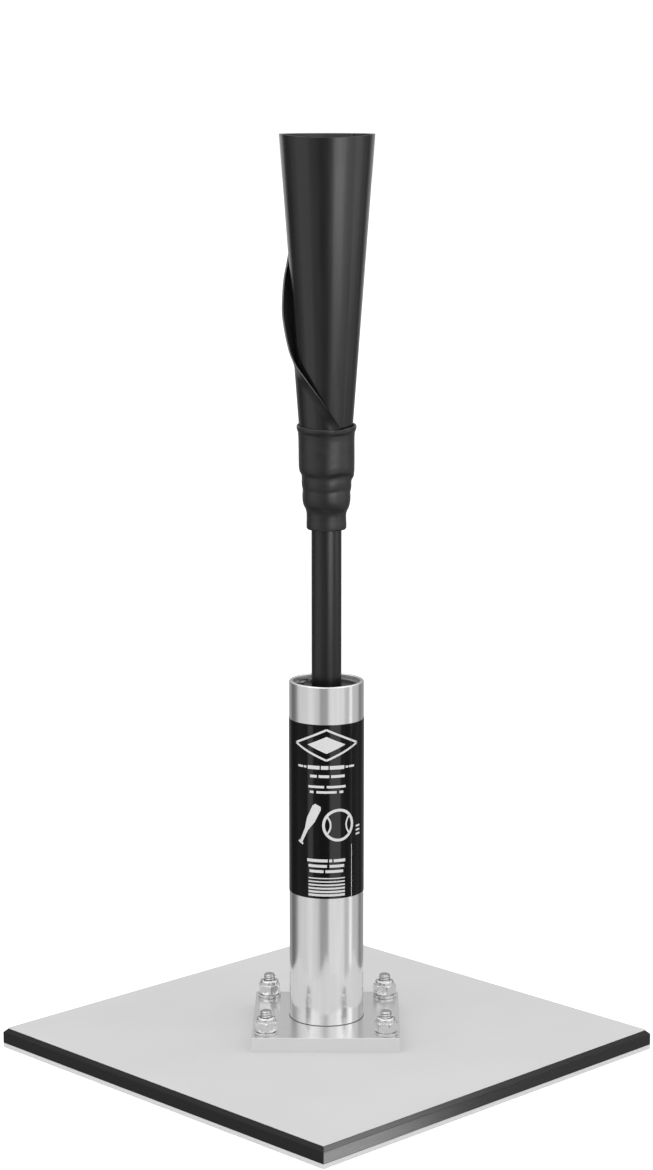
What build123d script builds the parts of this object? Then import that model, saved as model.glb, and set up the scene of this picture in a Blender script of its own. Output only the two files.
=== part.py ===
from build123d import *
import os
from math import cos, radians, sin

# Batting tee: a square weighted base, an upright tube, and a stem that slides and
# turns in it and carries a rolled rubber cone on a flexible neck. A ball rests in
# the cone's open top.
#
# Millimetres, +Z up. The origin is the centre of the base's underside, the base's
# edges run along X and Y, and the flange plate is turned 45 degrees to the base.

# ---- driving dimensions ------------------------------------------------------

# base: bottom sheet, bevelled core and thin top skin, bonded together
BASE_SIDE = 250.0
SHEET_T = 2.4
CORE_T = 8.1
SKIN_T = 0.5
BASE_BEVEL = 2.0
BASE_TOP = SHEET_T + CORE_T + SKIN_T

# flange plate and its four quarter-inch screws, washers and lock nuts
FLANGE_SIDE = 79.0
FLANGE_T = 8.0
FLANGE_TOP = BASE_TOP + FLANGE_T
FLANGE_TURN = 45.0
FLANGE_EDGE = 0.1
BOLT_CIRCLE_R = 45.25
BOLT_COUNT = 4
SCREW_R = 3.175
SCREW_HOLE_R = 3.4
SCREW_LENGTH = 29.5
SCREW_POINT = 0.6
SCREW_HEAD_R = 6.2
SCREW_HEAD_RIM = 0.3
SCREW_HEAD_H = 3.3
SCREW_SINK_R = 6.7
SCREW_SINK_ANGLE = 90.0
SCREW_SOCKET_AF = 4.0
SCREW_SOCKET_DEPTH = 2.2
HEAD_ACCESS_R = 6.8
WASHER_R = 6.3
WASHER_T = 1.6
NUT_AF = 11.1
NUT_HEX_H = 5.6
NUT_H = 8.0
NUT_COLLAR_R = 5.2
NUT_COLLAR_ROUND = 1.4
NUT_EDGE_DROP = 0.9
INSERT_R = 4.2
INSERT_H = 1.8

# upright tube with its foot plug, and the label round it
TUBE_R = 20.0
TUBE_WALL = 2.0
TUBE_BORE_R = TUBE_R - TUBE_WALL
TUBE_LENGTH = 186.4
TUBE_TOP = FLANGE_TOP + TUBE_LENGTH
TUBE_EDGE = 0.3
PLUG_H = 14.0
PLUG_SCREW_R = 4.0
PLUG_SCREW_HEAD_R = 7.9
PLUG_SCREW_HEAD_H = 4.4
PLUG_SCREW_LENGTH = 18.0
PLUG_SCREW_SOCKET_AF = 5.0
PLUG_SCREW_SOCKET_DEPTH = 2.8
BUMPER_R = 17.2
BUMPER_HOLE_R = 7.0
BUMPER_H = 4.0
LABEL_T = 0.2
LABEL_FOOT = BASE_TOP + 79.0
LABEL_HEIGHT = 95.0

# stem travel, measured from the modelled height
TRAVEL_DOWN = 78.0
TRAVEL_UP = 31.0
STOP_GAP = 0.3
RUNNING_FIT = 0.05
TURNING_PLAY = 0.1

# stem and the foot guide that it turns in
STEM_R = 8.0
STEM_BORE_R = 6.0
STEM_EDGE = 0.4
STEM_TOP = BASE_TOP + 303.0
FOOT_FLOOR = FLANGE_TOP + PLUG_H + BUMPER_H + STOP_GAP + TRAVEL_DOWN
FOOT_H = 18.0
FOOT_TOP = FOOT_FLOOR + FOOT_H
FOOT_R = TUBE_BORE_R - RUNNING_FIT
FOOT_RECESS_R = 6.0
FOOT_RECESS_H = 5.0
FOOT_WEB_H = 3.5
FOOT_SOCKET_Z = FOOT_FLOOR + FOOT_RECESS_H + FOOT_WEB_H
FOOT_SOCKET_R = STEM_R + RUNNING_FIT
FOOT_SCREW_R = 2.5
FOOT_SCREW_HOLE_R = 2.7
FOOT_SCREW_HEAD_R = 4.4
FOOT_SCREW_HEAD_H = 2.8
FOOT_SCREW_HEAD_EDGE = 1.2
FOOT_SCREW_GRIP = 12.0
FOOT_SCREW_SOCKET_AF = 3.0
FOOT_SCREW_SOCKET_DEPTH = 1.6
FOOT_WASHER_R = 5.2
FOOT_WASHER_T = 1.0
STEM_PLUG_H = 16.0
STEM_FOOT = FOOT_SOCKET_Z + TURNING_PLAY

# guide bushing in the tube's mouth, with its snap ring
MOUTH_RECESS = 3.8
BUSHING_TOP = TUBE_TOP - MOUTH_RECESS
BUSHING_FLOOR = FOOT_TOP + TRAVEL_UP + STOP_GAP
BUSHING_BORE_R = STEM_R + RUNNING_FIT
BUSHING_LEAD_IN = 1.0
SNAP_RING_T = 1.2
SNAP_RING_R = TUBE_BORE_R + 0.9
SNAP_RING_INNER_R = TUBE_BORE_R - 1.6
SNAP_RING_GAP = 8.0
SNAP_LUG_R = 2.2
SNAP_LUG_HOLE_R = 0.9
SNAP_LUG_X = -14.6
SNAP_LUG_Y = 5.6

# O-rings
O_RING_R = 0.9
O_RING_GROOVE_H = 2.2
O_RING_GROOVE_DEPTH = 1.85
BUSHING_RING_INSET = 8.0
FOOT_RING_INSET = 4.5

# flexible neck, band clamps, boot and cone: heights above the base's top face
BOOT_FOOT = BASE_TOP + 276.0
NECK_FOOT = BASE_TOP + 279.0
BAND_T = 1.0
BAND_H = 4.8
LOWER_BAND_Z = BASE_TOP + 289.5
LOWER_BAND_R = 10.2
UPPER_BAND_Z = BASE_TOP + 296.2
UPPER_BAND_R = 10.8
NECK_R = 12.7
NECK_SLEEVE_T = 1.4
NECK_RAMP_H = 3.0
NECK_SHOULDER_H = 2.0
CONE_FOOT = BASE_TOP + 317.0
CONE_FOOT_R = 12.86
CONE_FOOT_WALL = 3.6
CONE_RIM = BASE_TOP + 482.4
CONE_RIM_R = 25.2
CONE_RIM_WALL = 2.2
NECK_PLUG_TOP = BASE_TOP + 340.0
SOFT_GAP = 0.15
WRAP_T = 1.0
WRAP_OVERLAP = 0.5
WRAP_FOOT = BASE_TOP + 332.2
WRAP_EDGE_Z = BASE_TOP + 345.0
WRAP_EDGE_SLOPE = 2.0
WRAP_EDGE_TURN = 45.0
BOOT_TOP = BASE_TOP + 331.7

# the boot's outside: radius, and height above the base's top face
BOOT_OUTLINE = (
    (10.6, 276.0),
    (10.6, 283.8),
    (12.4, 288.6),
    (12.7, 292.0),
    (12.5, 296.6),
    (13.0, 298.5),
    (13.1, 303.0),
    (14.5, 307.0),
    (14.7, 315.0),
    (14.9, 326.0),
    (15.5, 330.0),
    (15.5, 331.7),
)


def cone_r(z):
    """Outer radius of the cone at height z."""
    share = (z - CONE_FOOT) / (CONE_RIM - CONE_FOOT)
    return CONE_FOOT_R + share * (CONE_RIM_R - CONE_FOOT_R)


def cone_bore_r(z):
    """Inner radius of the cone at height z: its wall thins towards the rim."""
    share = (z - CONE_FOOT) / (CONE_RIM - CONE_FOOT)
    return cone_r(z) - CONE_FOOT_WALL + share * (CONE_FOOT_WALL - CONE_RIM_WALL)


def turn(*outline, mode=Mode.ADD):
    """Turn a closed outline of (radius, height) points about Z in the open part."""
    with BuildSketch(Plane.XZ) as profile:
        with BuildLine():
            Polyline(*outline, close=True)
        make_face()
    revolve(profile.sketch, axis=Axis.Z, mode=mode)


def ring(inner_r, outer_r, foot, height, mode=Mode.ADD):
    """A plain ring about Z in the open part."""
    with BuildSketch(Plane.XY.offset(foot)) as section:
        Circle(outer_r)
        Circle(inner_r, mode=Mode.SUBTRACT)
    extrude(section.sketch, amount=height, mode=mode)


def bore(radius, foot, height):
    """A round hole about Z, cut in the open part."""
    with BuildSketch(Plane.XY.offset(foot)) as section:
        Circle(radius)
    extrude(section.sketch, amount=height, mode=Mode.SUBTRACT)


def hex_socket(across_flats, foot, depth):
    """A hexagon socket that opens downwards at height foot, cut in the open part."""
    with BuildSketch(Plane.XY.offset(foot)) as section:
        RegularPolygon(across_flats / 2, 6, major_radius=False)
    extrude(section.sketch, amount=depth, mode=Mode.SUBTRACT)


def o_ring(inner_r, height):
    """A round-section ring about Z that just reaches inner_r, in the open part."""
    with BuildSketch(Plane.XZ) as section:
        with Locations((inner_r + O_RING_R, height)):
            Circle(O_RING_R)
    revolve(section.sketch, axis=Axis.Z)


# ---- base --------------------------------------------------------------------

with BuildPart() as base_bottom_sheet:
    with BuildSketch():
        Rectangle(BASE_SIDE, BASE_SIDE)
        with PolarLocations(BOLT_CIRCLE_R, BOLT_COUNT):
            Circle(HEAD_ACCESS_R, mode=Mode.SUBTRACT)
    extrude(amount=SHEET_T)
base_bottom_sheet.part.label = "base_bottom_sheet"

with BuildPart() as base_core:
    with BuildSketch(Plane.XY.offset(SHEET_T)):
        Rectangle(BASE_SIDE, BASE_SIDE)
    extrude(amount=CORE_T)
    chamfer(base_core.faces().sort_by(Axis.Z)[-1].edges(), BASE_BEVEL)
    with Locations(Plane.XY.offset(SHEET_T).rotated((180, 0, 0))):
        with PolarLocations(BOLT_CIRCLE_R, BOLT_COUNT):
            CounterSinkHole(SCREW_HOLE_R, SCREW_SINK_R, CORE_T, SCREW_SINK_ANGLE)
base_core.part.label = "base_core"

with BuildPart() as base_top_skin:
    with BuildSketch(Plane.XY.offset(SHEET_T + CORE_T)):
        Rectangle(BASE_SIDE - 2 * BASE_BEVEL, BASE_SIDE - 2 * BASE_BEVEL)
        with PolarLocations(BOLT_CIRCLE_R, BOLT_COUNT):
            Circle(SCREW_HOLE_R, mode=Mode.SUBTRACT)
    extrude(amount=SKIN_T)
base_top_skin.part.label = "base_top_skin"

# ---- flange plate and fasteners ------------------------------------------------

with BuildPart() as flange_plate:
    with BuildSketch(Plane.XY.offset(BASE_TOP)):
        Rectangle(FLANGE_SIDE, FLANGE_SIDE, rotation=FLANGE_TURN)
        with PolarLocations(BOLT_CIRCLE_R, BOLT_COUNT):
            Circle(SCREW_HOLE_R, mode=Mode.SUBTRACT)
    extrude(amount=FLANGE_T)
    chamfer(flange_plate.faces().sort_by(Axis.Z)[-1].outer_wire().edges(), FLANGE_EDGE)
    turn(
        (0, BASE_TOP),
        (PLUG_SCREW_HEAD_R, BASE_TOP),
        (PLUG_SCREW_R, BASE_TOP + PLUG_SCREW_HEAD_H),
        (PLUG_SCREW_R, FLANGE_TOP),
        (0, FLANGE_TOP),
        mode=Mode.SUBTRACT,
    )
flange_plate.part.label = "flange_plate"

with BuildPart() as one_screw:
    turn(
        (0, SHEET_T),
        (SCREW_HEAD_R, SHEET_T),
        (SCREW_HEAD_R, SHEET_T + SCREW_HEAD_RIM),
        (SCREW_R, SHEET_T + SCREW_HEAD_H),
        (SCREW_R, SHEET_T + SCREW_LENGTH - SCREW_POINT),
        (SCREW_R - SCREW_POINT, SHEET_T + SCREW_LENGTH),
        (0, SHEET_T + SCREW_LENGTH),
    )
    hex_socket(SCREW_SOCKET_AF, SHEET_T, SCREW_SOCKET_DEPTH)

with BuildPart() as base_screws:
    with PolarLocations(BOLT_CIRCLE_R, BOLT_COUNT):
        add(one_screw.part)
base_screws.part.label = "base_screws"

with BuildPart() as flat_washers:
    with BuildSketch(Plane.XY.offset(FLANGE_TOP)):
        with PolarLocations(BOLT_CIRCLE_R, BOLT_COUNT):
            Circle(WASHER_R)
            Circle(SCREW_HOLE_R, mode=Mode.SUBTRACT)
    extrude(amount=WASHER_T)
flat_washers.part.label = "flat_washers"

NUT_FOOT = FLANGE_TOP + WASHER_T
NUT_CORNER_R = NUT_AF / 2 / cos(radians(30))

with BuildPart() as one_nut:
    with BuildSketch(Plane.XY.offset(NUT_FOOT)):
        RegularPolygon(NUT_AF / 2, 6, major_radius=False)
    extrude(amount=NUT_HEX_H)
    turn(
        (0, NUT_FOOT),
        (NUT_CORNER_R - NUT_EDGE_DROP, NUT_FOOT),
        (NUT_CORNER_R, NUT_FOOT + NUT_EDGE_DROP / 2),
        (NUT_CORNER_R, NUT_FOOT + NUT_HEX_H - NUT_EDGE_DROP / 2),
        (NUT_CORNER_R - NUT_EDGE_DROP, NUT_FOOT + NUT_HEX_H),
        (0, NUT_FOOT + NUT_HEX_H),
        mode=Mode.INTERSECT,
    )
    ring(SCREW_R, NUT_COLLAR_R, NUT_FOOT + NUT_HEX_H, NUT_H - NUT_HEX_H)
    fillet(
        one_nut.edges().group_by(Axis.Z)[-1].filter_by(GeomType.CIRCLE).sort_by(SortBy.RADIUS)[-1],
        NUT_COLLAR_ROUND,
    )
    bore(SCREW_R, NUT_FOOT, NUT_H)
    ring(SCREW_R, INSERT_R, NUT_FOOT + NUT_HEX_H, INSERT_H, mode=Mode.SUBTRACT)

with BuildPart() as lock_nuts:
    with PolarLocations(BOLT_CIRCLE_R, BOLT_COUNT):
        add(one_nut.part)
lock_nuts.part.label = "lock_nuts"

with BuildPart() as nut_inserts:
    with BuildSketch(Plane.XY.offset(NUT_FOOT + NUT_HEX_H)):
        with PolarLocations(BOLT_CIRCLE_R, BOLT_COUNT):
            Circle(INSERT_R)
            Circle(SCREW_R, mode=Mode.SUBTRACT)
    extrude(amount=INSERT_H)
nut_inserts.part.label = "nut_inserts"

# ---- upright tube ------------------------------------------------------------------

with BuildPart() as outer_tube:
    ring(TUBE_BORE_R, TUBE_R, FLANGE_TOP, TUBE_LENGTH)
    chamfer(outer_tube.edges().filter_by(GeomType.CIRCLE).group_by(Axis.Z)[-1], TUBE_EDGE)
    ring(TUBE_BORE_R, SNAP_RING_R, BUSHING_TOP, SNAP_RING_T, mode=Mode.SUBTRACT)
outer_tube.part.label = "outer_tube"

with BuildPart() as tube_end_plug:
    ring(PLUG_SCREW_R, TUBE_BORE_R, FLANGE_TOP, PLUG_H)
tube_end_plug.part.label = "tube_end_plug"

with BuildPart() as plug_screw:
    turn(
        (0, BASE_TOP),
        (PLUG_SCREW_HEAD_R, BASE_TOP),
        (PLUG_SCREW_R, BASE_TOP + PLUG_SCREW_HEAD_H),
        (PLUG_SCREW_R, BASE_TOP + PLUG_SCREW_LENGTH),
        (0, BASE_TOP + PLUG_SCREW_LENGTH),
    )
    hex_socket(PLUG_SCREW_SOCKET_AF, BASE_TOP, PLUG_SCREW_SOCKET_DEPTH)
plug_screw.part.label = "plug_screw"

with BuildPart() as bumper_ring:
    ring(BUMPER_HOLE_R, BUMPER_R, FLANGE_TOP + PLUG_H, BUMPER_H)
bumper_ring.part.label = "bumper_ring"

with BuildPart() as label_wrap:
    ring(TUBE_R, TUBE_R + LABEL_T, LABEL_FOOT, LABEL_HEIGHT)
label_wrap.part.label = "label_wrap"

# ---- guide bushing in the tube's mouth ------------------------------------------------

BUSHING_RING_HEIGHTS = (BUSHING_FLOOR + BUSHING_RING_INSET, BUSHING_TOP - BUSHING_RING_INSET)

with BuildPart() as guide_bushing:
    ring(BUSHING_BORE_R, TUBE_BORE_R, BUSHING_FLOOR, BUSHING_TOP - BUSHING_FLOOR)
    bore_edges = guide_bushing.edges().filter_by(GeomType.CIRCLE).group_by(SortBy.RADIUS)[0]
    chamfer(bore_edges, BUSHING_LEAD_IN)
    for height in BUSHING_RING_HEIGHTS:
        ring(
            BUSHING_BORE_R,
            BUSHING_BORE_R + O_RING_GROOVE_DEPTH,
            height - O_RING_GROOVE_H / 2,
            O_RING_GROOVE_H,
            mode=Mode.SUBTRACT,
        )
guide_bushing.part.label = "guide_bushing"

with BuildPart() as bushing_o_rings:
    for height in BUSHING_RING_HEIGHTS:
        o_ring(BUSHING_BORE_R, height)
bushing_o_rings.part.label = "bushing_o_rings"

# an open ring that snaps into the tube's groove, with an eyed lug at each side of its gap
with BuildPart() as bushing_snap_ring:
    with BuildSketch(Plane.XY.offset(BUSHING_TOP)):
        Circle(SNAP_RING_R)
        Circle(SNAP_RING_INNER_R, mode=Mode.SUBTRACT)
        with Locations((-SNAP_RING_R, 0)):
            Rectangle(SNAP_RING_R, SNAP_RING_GAP, mode=Mode.SUBTRACT)
        with Locations((SNAP_LUG_X, SNAP_LUG_Y), (SNAP_LUG_X, -SNAP_LUG_Y)):
            Circle(SNAP_LUG_R)
            Circle(SNAP_LUG_HOLE_R, mode=Mode.SUBTRACT)
    extrude(amount=SNAP_RING_T)
bushing_snap_ring.part.label = "bushing_snap_ring"

# ---- foot guide: slides in the tube, and the stem turns in it ----------------------------

FOOT_RING_HEIGHTS = (FOOT_FLOOR + FOOT_RING_INSET, FOOT_TOP - FOOT_RING_INSET)

with BuildPart() as foot_guide:
    ring(FOOT_SCREW_HOLE_R, FOOT_R, FOOT_FLOOR, FOOT_H)
    bore(FOOT_RECESS_R, FOOT_FLOOR, FOOT_RECESS_H)
    bore(FOOT_SOCKET_R, FOOT_SOCKET_Z, FOOT_TOP - FOOT_SOCKET_Z)
    for height in FOOT_RING_HEIGHTS:
        ring(
            FOOT_R - O_RING_GROOVE_DEPTH,
            FOOT_R,
            height - O_RING_GROOVE_H / 2,
            O_RING_GROOVE_H,
            mode=Mode.SUBTRACT,
        )
foot_guide.part.label = "foot_guide"

with BuildPart() as foot_o_rings:
    for height in FOOT_RING_HEIGHTS:
        o_ring(FOOT_R - 2 * O_RING_R, height)
foot_o_rings.part.label = "foot_o_rings"

# ---- stem ----------------------------------------------------------------------------

with BuildPart() as stem:
    ring(STEM_BORE_R, STEM_R, STEM_FOOT, STEM_TOP - STEM_FOOT)
    chamfer(stem.edges().filter_by(GeomType.CIRCLE).group_by(SortBy.RADIUS)[-1], STEM_EDGE)
stem.part.label = "stem"

with BuildPart() as stem_foot_plug:
    ring(FOOT_SCREW_R, STEM_BORE_R, STEM_FOOT, STEM_PLUG_H)
stem_foot_plug.part.label = "stem_foot_plug"

FOOT_WEB_FLOOR = FOOT_FLOOR + FOOT_RECESS_H
FOOT_WASHER_FLOOR = FOOT_WEB_FLOOR - TURNING_PLAY - FOOT_WASHER_T
FOOT_SCREW_FLOOR = FOOT_WASHER_FLOOR - FOOT_SCREW_HEAD_H

with BuildPart() as foot_washer:
    ring(FOOT_SCREW_R, FOOT_WASHER_R, FOOT_WASHER_FLOOR, FOOT_WASHER_T)
foot_washer.part.label = "foot_washer"

with BuildPart() as foot_screw:
    turn(
        (0, FOOT_SCREW_FLOOR),
        (FOOT_SCREW_HEAD_R - FOOT_SCREW_HEAD_EDGE, FOOT_SCREW_FLOOR),
        (FOOT_SCREW_HEAD_R, FOOT_SCREW_FLOOR + FOOT_SCREW_HEAD_EDGE),
        (FOOT_SCREW_HEAD_R, FOOT_WASHER_FLOOR),
        (FOOT_SCREW_R, FOOT_WASHER_FLOOR),
        (FOOT_SCREW_R, STEM_FOOT + FOOT_SCREW_GRIP),
        (0, STEM_FOOT + FOOT_SCREW_GRIP),
    )
    hex_socket(FOOT_SCREW_SOCKET_AF, FOOT_SCREW_FLOOR, FOOT_SCREW_SOCKET_DEPTH)
foot_screw.part.label = "foot_screw"

# ---- flexible neck, clamps, boot and cone --------------------------------------------------

# a rubber socket over the stem's top end, a solid bending length, and a plug in the cone
with BuildPart() as flex_neck:
    turn(
        (0, NECK_FOOT),
        (STEM_R + NECK_SLEEVE_T, NECK_FOOT),
        (STEM_R + NECK_SLEEVE_T, LOWER_BAND_Z - NECK_RAMP_H),
        (LOWER_BAND_R, LOWER_BAND_Z),
        (LOWER_BAND_R, LOWER_BAND_Z + BAND_H),
        (UPPER_BAND_R, UPPER_BAND_Z),
        (UPPER_BAND_R, UPPER_BAND_Z + BAND_H),
        (NECK_R, STEM_TOP + NECK_SHOULDER_H),
        (NECK_R, CONE_FOOT - SOFT_GAP),
        (cone_bore_r(CONE_FOOT) - SOFT_GAP, CONE_FOOT - SOFT_GAP),
        (cone_bore_r(NECK_PLUG_TOP) - SOFT_GAP, NECK_PLUG_TOP),
        (0, NECK_PLUG_TOP),
    )
    bore(STEM_R, NECK_FOOT, STEM_TOP - NECK_FOOT)
flex_neck.part.label = "flex_neck"

with BuildPart() as band_clamps:
    ring(LOWER_BAND_R, LOWER_BAND_R + BAND_T, LOWER_BAND_Z, BAND_H)
    ring(UPPER_BAND_R, UPPER_BAND_R + BAND_T, UPPER_BAND_Z, BAND_H)
band_clamps.part.label = "band_clamps"

# the boot is drawn tight over the clamps, which show as two ridges
with BuildPart() as boot:
    turn(
        (STEM_R, BOOT_FOOT),
        *((radius, BASE_TOP + height) for radius, height in BOOT_OUTLINE),
        (STEM_R, BOOT_TOP),
    )
    add(flex_neck.part, mode=Mode.SUBTRACT)
    add(band_clamps.part, mode=Mode.SUBTRACT)
    bore(STEM_R, BOOT_FOOT, STEM_TOP - BOOT_FOOT)
    turn(
        (0, CONE_FOOT - SOFT_GAP),
        (cone_r(CONE_FOOT) + SOFT_GAP, CONE_FOOT - SOFT_GAP),
        (cone_r(BOOT_TOP) + SOFT_GAP, BOOT_TOP),
        (0, BOOT_TOP),
        mode=Mode.SUBTRACT,
    )
boot.part.label = "boot"

# a sheet rolled into an open cone; its outer turn ends in a slanting edge
wrap_edge = Plane(
    origin=(0, 0, WRAP_EDGE_Z),
    z_dir=(
        WRAP_EDGE_SLOPE * cos(radians(WRAP_EDGE_TURN)),
        WRAP_EDGE_SLOPE * sin(radians(WRAP_EDGE_TURN)),
        1,
    ),
)

with BuildPart() as cone:
    turn(
        (cone_r(WRAP_FOOT) - WRAP_OVERLAP, WRAP_FOOT),
        (cone_r(WRAP_FOOT) + WRAP_T, WRAP_FOOT),
        (cone_r(CONE_RIM) + WRAP_T, CONE_RIM),
        (cone_r(CONE_RIM) - WRAP_OVERLAP, CONE_RIM),
    )
    split(bisect_by=wrap_edge, keep=Keep.BOTTOM)
    turn(
        (cone_bore_r(CONE_FOOT), CONE_FOOT),
        (cone_r(CONE_FOOT), CONE_FOOT),
        (cone_r(CONE_RIM), CONE_RIM),
        (cone_bore_r(CONE_RIM), CONE_RIM),
    )
cone.part.label = "cone"

# ---- write one STEP file for each piece ------------------------------------------------------

os.makedirs("parts", exist_ok=True)
pieces = (
    base_bottom_sheet,
    base_core,
    base_top_skin,
    flange_plate,
    base_screws,
    flat_washers,
    lock_nuts,
    nut_inserts,
    outer_tube,
    tube_end_plug,
    plug_screw,
    bumper_ring,
    label_wrap,
    guide_bushing,
    bushing_o_rings,
    bushing_snap_ring,
    foot_guide,
    foot_o_rings,
    stem,
    stem_foot_plug,
    foot_washer,
    foot_screw,
    flex_neck,
    band_clamps,
    boot,
    cone,
)
for piece in pieces:
    export_step(piece.part, f"parts/{piece.part.label}.step")
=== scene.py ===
from math import ceil, cos, degrees, pi, radians, sin, tau

import bmesh
import bpy
import numpy as np
from mathutils import Matrix, Vector


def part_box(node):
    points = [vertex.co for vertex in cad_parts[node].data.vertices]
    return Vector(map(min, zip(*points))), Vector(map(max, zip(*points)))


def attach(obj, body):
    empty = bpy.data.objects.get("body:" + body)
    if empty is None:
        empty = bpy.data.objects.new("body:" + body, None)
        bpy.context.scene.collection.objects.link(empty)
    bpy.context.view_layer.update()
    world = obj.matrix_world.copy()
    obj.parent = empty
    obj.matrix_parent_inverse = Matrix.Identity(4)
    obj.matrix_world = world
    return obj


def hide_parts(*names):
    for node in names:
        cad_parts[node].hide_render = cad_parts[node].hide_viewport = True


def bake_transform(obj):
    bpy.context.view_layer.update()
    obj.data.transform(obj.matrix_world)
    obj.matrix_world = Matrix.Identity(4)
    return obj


# Batting tee: the looks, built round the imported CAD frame. Metres, +Z up. The base's edges run
# along X and Y, and the camera looks at its corner at +X, -Y.

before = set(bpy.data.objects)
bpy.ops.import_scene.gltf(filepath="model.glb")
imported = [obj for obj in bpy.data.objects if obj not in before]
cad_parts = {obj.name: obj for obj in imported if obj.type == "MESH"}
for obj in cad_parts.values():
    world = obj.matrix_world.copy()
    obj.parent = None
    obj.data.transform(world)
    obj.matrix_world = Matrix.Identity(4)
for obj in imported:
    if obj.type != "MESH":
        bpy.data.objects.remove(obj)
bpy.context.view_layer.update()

MM = 0.001

# ---- view ----------------------------------------------------------------------

CAMERA_AZIMUTH = radians(45.49)
CAMERA_PITCH = radians(9.87)
CAMERA_REACH = 1.4699
CAMERA_HEIGHT = 0.5125
CAMERA_LENS = 86.44
FRONT = -pi / 2 + CAMERA_AZIMUTH  # angle about Z of the side that faces the camera


def make_camera():
    data = bpy.data.cameras.new("camera")
    data.lens = CAMERA_LENS
    data.sensor_width = 36.0
    data.clip_start = 0.05
    camera = bpy.data.objects.new("camera", data)
    camera.location = (
        CAMERA_REACH * sin(CAMERA_AZIMUTH),
        -CAMERA_REACH * cos(CAMERA_AZIMUTH),
        CAMERA_HEIGHT,
    )
    camera.rotation_euler = (pi / 2 - CAMERA_PITCH, 0, CAMERA_AZIMUTH)
    bpy.context.scene.collection.objects.link(camera)
    bpy.context.scene.camera = camera
    bpy.context.scene.view_settings.view_transform = "Standard"


# ---- node helpers --------------------------------------------------------------

NOISE_LOW = 0.3  # nearly all of a noise's values lie between these two
NOISE_HIGH = 0.7


def wire(tree, kind, inputs=None, **settings):
    """A new node with its settings and inputs; an input is a value or another socket."""
    node = tree.nodes.new(kind)
    for key, value in settings.items():
        setattr(node, key, value)
    for key, value in (inputs or {}).items():
        if isinstance(value, bpy.types.NodeSocket):
            tree.links.new(value, node.inputs[key])
        else:
            node.inputs[key].default_value = value
    return node


def ramp(tree, fac, stops):
    """A colour ramp over grey levels: stops are (position, grey) pairs."""
    node = wire(tree, "ShaderNodeValToRGB", {"Fac": fac})
    elements = node.color_ramp.elements
    while len(elements) < len(stops):
        elements.new(0.5)
    for element, (position, grey) in zip(elements, stops):
        element.position = position
        element.color = (grey, grey, grey, 1)
    return node.outputs["Color"]


# ---- studio --------------------------------------------------------------------

# brightness round the horizon, by degrees from the camera's side, + to its right
STUDIO = (
    (-180, 0.36),
    (-139, 0.34),
    (-135, 0.14),
    (-118, 0.15),
    (-105, 0.30),
    (-94, 0.63),
    (-60, 0.67),
    (-54, 0.76),
    (-46, 0.76),
    (-40, 0.66),
    (-24, 0.61),
    (-18, 0.33),
    (4, 0.33),
    (8, 0.77),
    (56, 0.75),
    (60, 0.49),
    (75, 0.49),
    (77, 1.10),
    (84, 1.10),
    (86, 0.52),
    (114, 0.52),
    (121, 0.22),
    (136, 0.22),
    (141, 0.35),
    (180, 0.36),
)
STUDIO_PEAK = 1.2  # a ramp's colours stop at 1, so it holds shares of this
BACKDROP = 1.0
OVERHEAD = 1.08
OVERHEAD_FROM = 0.12  # sine of the elevation where the overhead light starts to show
OVERHEAD_FULL = 0.85
UNDERNEATH = 0.10
UNDERNEATH_FROM = -0.36  # sine of the elevation where the light from below starts to fade
UNDERNEATH_FULL = -0.70


def white(tree, strength):
    """An even white glow, as a shader socket."""
    glow = {"Color": (1, 1, 1, 1), "Strength": strength}
    return wire(tree, "ShaderNodeBackground", glow).outputs["Background"]


def mix(tree, share, first, second):
    """From the first shader to the second as share goes from 0 to 1."""
    return wire(tree, "ShaderNodeMixShader", {0: share, 1: first, 2: second}).outputs["Shader"]


def make_world():
    """A white backdrop, and softboxes and dark cards round the horizon for reflections."""
    world = bpy.data.worlds.new("studio")
    bpy.context.scene.world = world
    world.use_nodes = True
    tree = world.node_tree
    tree.nodes.clear()
    coords = wire(tree, "ShaderNodeTexCoord")
    facing = wire(
        tree,
        "ShaderNodeVectorRotate",
        {"Vector": coords.outputs["Generated"], "Angle": -FRONT},
        rotation_type="Z_AXIS",
    )
    split = wire(tree, "ShaderNodeSeparateXYZ", {"Vector": facing.outputs["Vector"]})
    angle = wire(
        tree,
        "ShaderNodeMath",
        {0: split.outputs["Y"], 1: split.outputs["X"]},
        operation="ARCTAN2",
    )
    share = wire(
        tree,
        "ShaderNodeMath",
        {0: angle.outputs["Value"], 1: 1 / tau, 2: 0.5},
        operation="MULTIPLY_ADD",
    )
    stops = [((a + 180) / 360, level / STUDIO_PEAK) for a, level in STUDIO]
    greys = ramp(tree, share.outputs["Value"], stops)
    cards = wire(tree, "ShaderNodeBackground", {"Color": greys, "Strength": STUDIO_PEAK})
    overhead = wire(
        tree,
        "ShaderNodeMapRange",
        {"Value": split.outputs["Z"], "From Min": OVERHEAD_FROM, "From Max": OVERHEAD_FULL},
        interpolation_type="SMOOTHSTEP",
    )
    underneath = wire(
        tree,
        "ShaderNodeMapRange",
        {"Value": split.outputs["Z"], "From Min": UNDERNEATH_FROM, "From Max": UNDERNEATH_FULL},
    )
    upper = mix(
        tree, overhead.outputs["Result"], cards.outputs["Background"], white(tree, OVERHEAD)
    )
    reflected = mix(tree, underneath.outputs["Result"], upper, white(tree, UNDERNEATH))
    camera_ray = wire(tree, "ShaderNodeLightPath").outputs["Is Camera Ray"]
    seen = mix(tree, camera_ray, reflected, white(tree, BACKDROP))
    wire(tree, "ShaderNodeOutputWorld", {"Surface": seen})


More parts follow.
